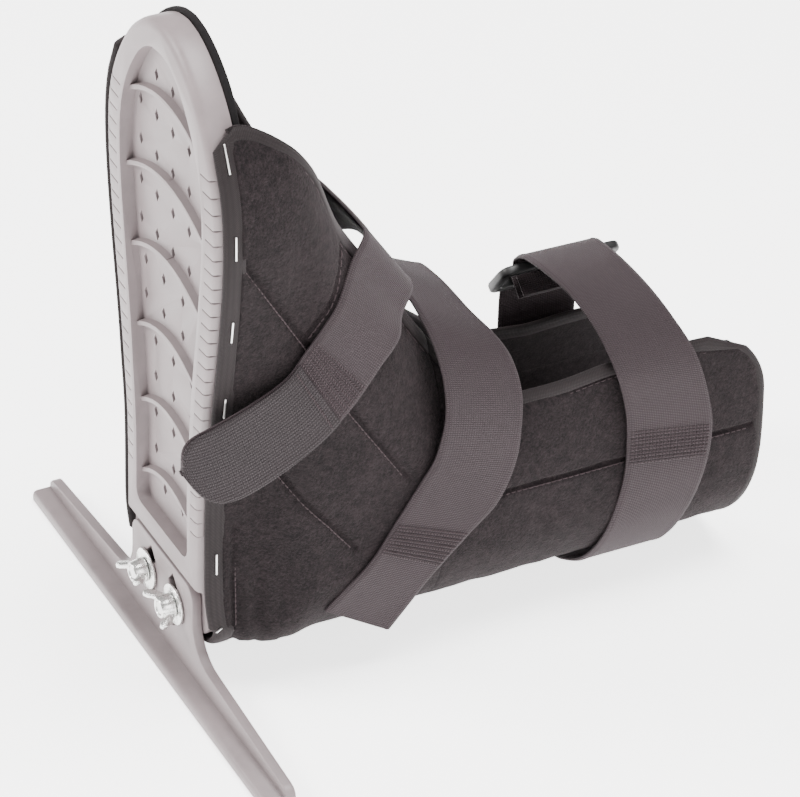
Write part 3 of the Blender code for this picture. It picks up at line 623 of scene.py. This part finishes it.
def band_piece(name, pairs, node):
    rings = []
    uvs = []
    run = 0.0
    last = None
    for (ya, va), (yb, vb) in pairs:
        ring = []
        for t, lift in SECTION:
            y = ya + (yb - ya) * t
            v = va + (vb - va) * t
            ring.append(cloth_point(y, v) + cloth_normal(y, v) * lift)
        mid = ring[4]
        if last is not None:
            run += float(np.linalg.norm(mid - last))
        last = mid
        rings.append(ring)
        uvs.extend([(k * 0.9, run) for k in range(len(SECTION))])
    n = len(SECTION)
    verts = [p for r in rings for p in r]
    faces = []
    for r in range(len(rings) - 1):
        for i in range(n):
            j = (i + 1) % n
            faces.append((r * n + i, r * n + j, (r + 1) * n + j, (r + 1) * n + i))
    faces.append(tuple(range(n)))
    faces.append(tuple((len(rings) - 1) * n + i for i in reversed(range(n))))
    ob = make(name, verts, faces, TAPE, True, uvs)
    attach(ob, "boot")
    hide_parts(node)
    return ob


def top_pair(y, side):
    return (y, side * 1.0), (y, side * (1.0 - top_band(y, side)))


def front_pair(v):
    first = y_range(v)[0]
    return (first, v), (first + FRONT_BAND, v)


def end_pair(v):
    last = y_range(v)[1]
    return (last, v), (last - TOP_BAND, v)


def corner_pairs(side, front):
    """One station at a corner, from the open edge to the inner point."""
    first, last = y_range(side)
    edge = first if front else last
    y_in = first + FRONT_BAND if front else last - TOP_BAND
    v_in = side * (1.0 - top_band(y_in, side))
    return [((edge, side * 1.0), (y_in, v_in))]


def fine(values, steps):
    out = []
    for a, b in zip(values[:-1], values[1:]):
        out.extend([a + (b - a) * k / steps for k in range(steps)])
    return out + [values[-1]]


foot_y = fine([105.4, 90.0, 75.0, 60.0, 45.0, 30.0, 18.0, 13.0], 6)
front_v = fine([0.965, 0.8, 0.6, 0.42, 0.3, 0.15, 0.0, -0.15, -0.3, -0.42, -0.6, -0.8, -0.965], 10)
pairs = [top_pair(y, 1) for y in foot_y] + corner_pairs(1, True) + [front_pair(v) for v in front_v]
pairs += corner_pairs(-1, True) + [top_pair(y, -1) for y in reversed(foot_y)]
band_piece("foot_edge_tape", pairs, "foot_binding")
calf_y = fine([106.0, 120.0, 135.0, 150.0, 165.0, 180.0, 195.0, 210.0, 221.0], 6)
end_v = fine([0.93, 0.8, 0.6, 0.42, 0.3, 0.15, 0.0, -0.15, -0.3, -0.42, -0.6, -0.8, -0.93], 8)
pairs = [top_pair(y, 1) for y in calf_y] + corner_pairs(1, False) + [end_pair(v) for v in end_v]
pairs += corner_pairs(-1, False) + [top_pair(y, -1) for y in reversed(calf_y)]
band_piece("calf_edge_tape", pairs, "calf_binding")


# Webbing

def ribbon(rows, steps):
    left = smooth_curve([r[0] for r in rows], steps)
    right = smooth_curve([r[1] for r in rows], steps)
    return left, right


def ribbon_frames(left, right):
    mid = (left + right) / 2
    along = np.gradient(mid, axis=0)
    normal = np.cross(along, right - left)
    normal /= np.linalg.norm(normal, axis=1)[:, None]
    steps = np.linalg.norm(np.diff(mid, axis=0), axis=1)
    run = np.concatenate([[0], np.cumsum(steps)])
    return mid, normal, run


def web_piece(name, rows, mat, node=None, thick=1.9, lift=0.0, span=None, round_start=0.0,
              round_end=0.0, flip=1, width=1.0, across=20, steps=9, wave=0.25):
    """A length of tape along a strap's path, with rolled selvedges."""
    left, right = ribbon(rows, steps)
    mid, normal, run = ribbon_frames(left, right)
    normal = normal * flip
    if span is not None:
        low, high = span
        keep = np.linspace(low, high, max(4, int((high - low) / 2.2)))
        left = np.stack([np.interp(keep, run, left[:, k]) for k in range(3)], 1)
        right = np.stack([np.interp(keep, run, right[:, k]) for k in range(3)], 1)
        mid, normal, run = ribbon_frames(left, right)
        normal = normal * flip
        run = run + low
    total = run[-1]
    start = run[0]
    stations = np.linspace(-1, 1, across + 1)
    verts = []
    uvs = []
    for i in range(len(run)):
        vec = (right[i] - left[i]) / 2
        w = float(np.linalg.norm(vec)) * width
        unit = vec / np.linalg.norm(vec)
        cut = 0.0
        if round_start > 0 and run[i] - start < round_start:
            q = round_start - (run[i] - start)
            cut = round_start - math.sqrt(max(0.0, round_start ** 2 - q * q))
        if round_end > 0 and total - run[i] < round_end:
            q = round_end - (total - run[i])
            cut = max(cut, round_end - math.sqrt(max(0.0, round_end ** 2 - q * q)))
        w_now = max(0.8, w - cut)
        ring = []
        for t in stations:
            edge = max(0.0, (abs(t) - 0.93) / 0.07)
            h = thick / 2 * math.sqrt(max(0.0, 1 - edge ** 2 * 0.85))
            roll = 0.22 * math.exp(-((abs(t) - 0.88) / 0.05) ** 2)
            bow = wave * math.sin(run[i] * 0.11 + t * 1.3) * 0.5
            ring.append((mid[i] + unit * w_now * t + normal[i] * (lift + h + roll + bow), t * w_now, run[i]))
        back = []
        for t in stations[::-1]:
            edge = max(0.0, (abs(t) - 0.93) / 0.07)
            h = thick / 2 * math.sqrt(max(0.0, 1 - edge ** 2 * 0.85))
            bow = wave * math.sin(run[i] * 0.11 + t * 1.3) * 0.5
            back.append((mid[i] + unit * w_now * t + normal[i] * (lift - h + bow), t * w_now, run[i]))
        for p, u, s in ring + back:
            verts.append(p)
            uvs.append((u, s))
    n = 2 * (across + 1)
    faces = []
    for r in range(len(run) - 1):
        for i in range(n):
            j = (i + 1) % n
            faces.append((r * n + i, r * n + j, (r + 1) * n + j, (r + 1) * n + i))
    for r in (0, len(run) - 1):
        for i in range(across):
            a, b = r * n + i, r * n + i + 1
            c, d = r * n + n - 2 - i, r * n + n - 1 - i
            faces.append((a, b, c, d) if r == 0 else (d, c, b, a))
    ob = make(name, verts, faces, mat, True, uvs)
    ob.data.set_sharp_from_angle(angle=math.radians(50))
    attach(ob, "boot")
    if node:
        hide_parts(node)
    return ob


class Bits:
    """Many small threads in one mesh."""

    def __init__(self):
        self.verts = []
        self.faces = []

    def thread(self, a, b, normal, radius, arch):
        a, b = np.asarray(a, float), np.asarray(b, float)
        along = b - a
        side = np.cross(along, normal)
        length = np.linalg.norm(side)
        if length < 1e-9:
            return
        side = side / length
        base = len(self.verts)
        stations = [(0.0, 0.35, -0.3), (0.18, 0.9, 0.55), (0.5, 1.0, 1.0), (0.82, 0.9, 0.55),
                    (1.0, 0.35, -0.3)]
        for t, fat, up in stations:
            c = a + along * t + normal * arch * up
            for k in range(5):
                q = 2 * math.pi * k / 5
                self.verts.append(c + (side * math.cos(q) + normal * math.sin(q)) * radius * fat)
        for s in range(4):
            for k in range(5):
                m = (k + 1) % 5
                low = base + s * 5
                self.faces.append((low + k, low + m, low + 5 + m, low + 5 + k))
        self.faces.append(tuple(base + k for k in reversed(range(5))))
        self.faces.append(tuple(base + 20 + k for k in range(5)))

    def build(self, name, mat, body="boot"):
        uvs = [(0.0, 0.3 * i) for i in range(len(self.verts))]
        ob = make(name, self.verts, self.faces, mat, True, uvs)
        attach(ob, body)
        return ob


def strap_stitches(bits, rows, flip, zone, lift, count_across, row_gap):
    """A sewn box of short stitches across a strap."""
    left, right = ribbon(rows, 9)
    mid, normal, run = ribbon_frames(left, right)
    normal = normal * flip

    def at(s, t):
        l = np.array([np.interp(s, run, left[:, k]) for k in range(3)])
        r = np.array([np.interp(s, run, right[:, k]) for k in range(3)])
        n = np.array([np.interp(s, run, normal[:, k]) for k in range(3)])
        return (l + r) / 2 + (r - l) / 2 * t + n * lift, n

    s = zone[0]
    row = 0
    while s <= zone[1]:
        for k in range(count_across):
            t0 = -0.93 + 1.86 * k / count_across
            t1 = t0 + 1.86 / count_across * 0.7
            skew = 0.35 * (1 if row % 2 else -1)
            p, n = at(s - skew, t0)
            q, _ = at(s + skew, t1)
            bits.thread(p, q, n, 0.28, 0.2)
        s += row_gap
        row += 1


# Which way each strap's outer face points
OUT = {}
for key, rows in (("forefoot", FOREFOOT_STRAP), ("ankle", ANKLE_STRAP), ("calf", CALF_STRAP),
                  ("anchor", CALF_ANCHOR)):
    left, right = ribbon(rows, 3)
    mid, normal, run = ribbon_frames(left, right)
    k = int(np.argmax(np.abs(mid[:, 0])))
    OUT[key] = 1 if normal[k][0] * mid[k][0] > 0 else -1

web_piece("forefoot_webbing", FOREFOOT_STRAP, WEBBING, "forefoot_strap", flip=OUT["forefoot"],
          round_start=14.0, width=1.0)
web_piece("ankle_webbing", ANKLE_STRAP, WEBBING, "ankle_strap", flip=OUT["ankle"], wave=0.35)
web_piece("calf_webbing", CALF_STRAP, WEBBING, "calf_strap", flip=OUT["calf"])
web_piece("anchor_webbing", CALF_ANCHOR, WEBBING, "calf_strap_anchor", flip=OUT["anchor"])
web_piece("forefoot_hook_tab", FOREFOOT_STRAP, HOOK, None, thick=0.9, lift=1.15, span=(0.6, 66.0),
          round_start=13.5, flip=OUT["forefoot"], width=0.985)

bits = Bits()
strap_stitches(bits, FOREFOOT_STRAP, OUT["forefoot"], (67.5, 80.0), 1.12, 22, 1.55)
strap_stitches(bits, FOREFOOT_STRAP, OUT["forefoot"], (62.5, 62.6), 1.65, 24, 3.0)
strap_stitches(bits, ANKLE_STRAP, OUT["ankle"], (35.0, 52.0), 1.12, 22, 1.7)
strap_stitches(bits, CALF_STRAP, OUT["calf"], (152.0, 168.0), 1.12, 22, 1.7)
bits.build("strap_stitching", THREAD)

seam_bits = Bits()
SEAM_OFFSET = -1.5


def side_point(side, y, z, lift):
    """A point on the outside of the upper at y, z, and its normal."""
    low = leg_bottom(y) + leg_round(y)
    top = top_at(y, side)
    if z >= low:
        v = BEND + (1 - BEND) * (z - low) / (top - low)
    else:
        t = math.acos(max(-1.0, min(1.0, 1 - (z - leg_bottom(y)) / leg_round(y))))
        v = BEND * t / (math.pi / 2)
    v = min(v, 0.995) * side
    n = cloth_normal(y, v)
    return cloth_point(y, v) + n * (CLOTH + lift), n


for side in (1, -1):
    for line in SEAMS + [HEEL_SEAM]:
        pts = np.array(line, float)
        seg = np.concatenate([[0], np.cumsum(np.linalg.norm(np.diff(pts, axis=0), axis=1))])
        s = 1.0
        while s < seg[-1] - 3:
            a = np.array([np.interp(s, seg, pts[:, k]) for k in range(2)])
            b = np.array([np.interp(s + 2.6, seg, pts[:, k]) for k in range(2)])
            d = (b - a) / np.linalg.norm(b - a)
            m = np.array([-d[1], d[0]]) * SEAM_OFFSET
            pa, n = side_point(side, a[0] + m[0], a[1] + m[1], -0.25)
            pb, _ = side_point(side, b[0] + m[0], b[1] + m[1], -0.25)
            seam_bits.thread(pa, pb, n, 0.30, 0.25)
            s += 2.7
    for y in np.arange(20, 252, 3.0):
        if abs(y - 106) < 3:
            continue
        off_v = top_band(y, side) * 1.22
        if y > y_range(1.0)[1] - 2:
            continue
        pa = cloth_point(y, side * (1 - off_v)) + cloth_normal(y, side * (1 - off_v)) * (CLOTH + 0.2)
        y2 = y + 2.2
        off2 = top_band(y2, side) * 1.22
        n = cloth_normal(y2, side * (1 - off2))
        pb = cloth_point(y2, side * (1 - off2)) + n * (CLOTH + 0.2)
        seam_bits.thread(pa, pb, n, 0.2, 0.15)
seam_bits.build("seam_stitching", THREAD)


# Hard pieces
dressed("sole_plate", GREY, 0.45, "boot")
dressed("anti_rotation_bar", GREY, 0.55, "bar")
# Insole liner: dark cloth made near-black as painted shade, so the plate's holes and toe rim read black
dressed("insole_liner", SHADE, 0.8, "boot")
dressed("loop_buckle", BUCKLE, 0.9, "boot")
for which in ("far", "near"):
    dressed("wing_nut_" + which, ZINC, 0.4, "nut_" + which)
    dressed("washer_" + which, ZINC, 0.25, "boot")
    dressed("clamp_bolt_" + which, ZINC, 0.2, "boot")
for label in ("near", "far"):
    for k in range(1, 8):
        dressed("staple_%s_%d" % (label, k), STEEL, 0.15, "boot")

# Painted shade: a thin near-black sheet between the bar's tongue and the plate, so the slots read dark
slot_shade_outline = []
for i in range(40):
    t = 2 * math.pi * i / 40
    slot_shade_outline.append((26.0 * math.cos(t), 31.0 + 15.5 * math.sin(t)))
verts = [(x, 6.40, z) for x, z in slot_shade_outline] + [(x, 6.55, z) for x, z in slot_shade_outline]
faces = [tuple(range(40)), tuple(reversed(range(40, 80)))]
faces += [(i, 40 + i, 40 + (i + 1) % 40, (i + 1) % 40) for i in range(40)]
kernel_pad_and_shade_sheet = make("tongue_slot_shade", verts, faces, SHADE, False)
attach(kernel_pad_and_shade_sheet, "boot")


# Floor, light and camera
def plane(name, size, z, mat):
    half = size / 2
    mesh = bpy.data.meshes.new(name)
    corners = [(-half, -half, z), (half, -half, z), (half, half, z), (-half, half, z)]
    mesh.from_pydata(corners, [], [(0, 1, 2, 3)])
    mesh.materials.append(mat)
    ob = bpy.data.objects.new(name, mesh)
    bpy.context.scene.collection.objects.link(ob)
    ob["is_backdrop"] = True
    return ob


white = Nodes("pale floor")
white.shader.inputs["Base Color"].default_value = (0.96, 0.955, 0.95, 1.0)
white.shader.inputs["Roughness"].default_value = 0.9
white.shader.inputs["Emission Color"].default_value = (1.0, 1.0, 1.0, 1.0)
white.shader.inputs["Emission Strength"].default_value = 2.6
plane("floor", 12.0, -0.0005, white.mat)


def area(name, loc, target, size, power, color=(1, 1, 1)):
    data = bpy.data.lights.new(name, "AREA")
    data.shape = "SQUARE"
    data.size = size
    data.energy = power
    data.color = color
    ob = bpy.data.objects.new(name, data)
    bpy.context.scene.collection.objects.link(ob)
    ob.location = loc
    ob.rotation_euler = (Vector(target) - Vector(loc)).to_track_quat("-Z", "Y").to_euler()
    ob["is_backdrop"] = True
    return ob


area("key", (-0.7, -1.5, 1.5), (0, 0.1, 0.12), 0.7, 62.0, (1.0, 0.985, 0.97))
area("fill", (1.9, 0.1, 1.0), (0, 0.12, 0.1), 1.2, 22.0, (1.0, 0.98, 0.98))
area("top", (0.2, 0.4, 1.9), (0, 0.12, 0.1), 1.0, 70.0)

world = bpy.data.worlds.new("studio")
world.use_nodes = True
world.node_tree.nodes["Background"].inputs["Color"].default_value = (1.0, 0.985, 0.975, 1.0)
world.node_tree.nodes["Background"].inputs["Strength"].default_value = 0.6
bpy.context.scene.world = world

AZ, EL, ROLL, DIST = math.radians(61.667), math.radians(33.962), math.radians(2.031), 1.66933
back = Vector((math.sin(AZ) * math.cos(EL), -math.cos(AZ) * math.cos(EL), math.sin(EL)))
right = Vector((math.cos(AZ), math.sin(AZ), 0))
up = Vector((-math.sin(AZ) * math.sin(EL), math.cos(AZ) * math.sin(EL), math.cos(EL)))
r2 = math.cos(ROLL) * right + math.sin(ROLL) * up
u2 = -math.sin(ROLL) * right + math.cos(ROLL) * up
target = 0.095836 * right + 0.1065 * up + Vector((0, 0.00165, 0))
place = target + DIST * back
cam_data = bpy.data.cameras.new("camera")
cam_data.lens = 180.0
cam_data.sensor_width = 36.0
cam_data.clip_end = 50.0
cam = bpy.data.objects.new("camera", cam_data)
bpy.context.scene.collection.objects.link(cam)
cam.matrix_world = Matrix(((r2.x, u2.x, back.x, place.x), (r2.y, u2.y, back.y, place.y),
                           (r2.z, u2.z, back.z, place.z), (0, 0, 0, 1)))
bpy.context.scene.camera = cam

bpy.context.view_layer.update()
SIZE["after"] = plain(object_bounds())
